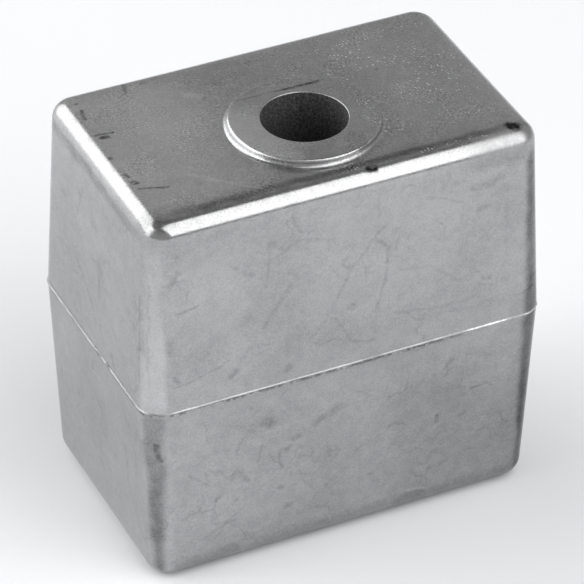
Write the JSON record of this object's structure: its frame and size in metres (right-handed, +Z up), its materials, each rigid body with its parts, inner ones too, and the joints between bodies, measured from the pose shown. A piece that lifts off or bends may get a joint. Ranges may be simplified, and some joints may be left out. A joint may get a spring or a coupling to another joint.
{
  "type": "sacrificial anode",
  "caption": "Cast zinc block anode with drafted halves, rounded edges, a raised washer seat and a through hole for its mounting bolt.",
  "frame": {"origin": "centre of the block's plan at the flat underside", "axes": "+Z up along the bolt hole to the raised seat, +X along the block's length, -Y towards the long side that the hole lies nearer to"},
  "size_m": [0.0676, 0.042, 0.0676],
  "materials": {
    "cast_zinc": "as cast, dull satin with brighter rubbed edges"
  },
  "bodies": {
    "root": {"anode_block": "cast_zinc"}
  },
  "joints": []
}
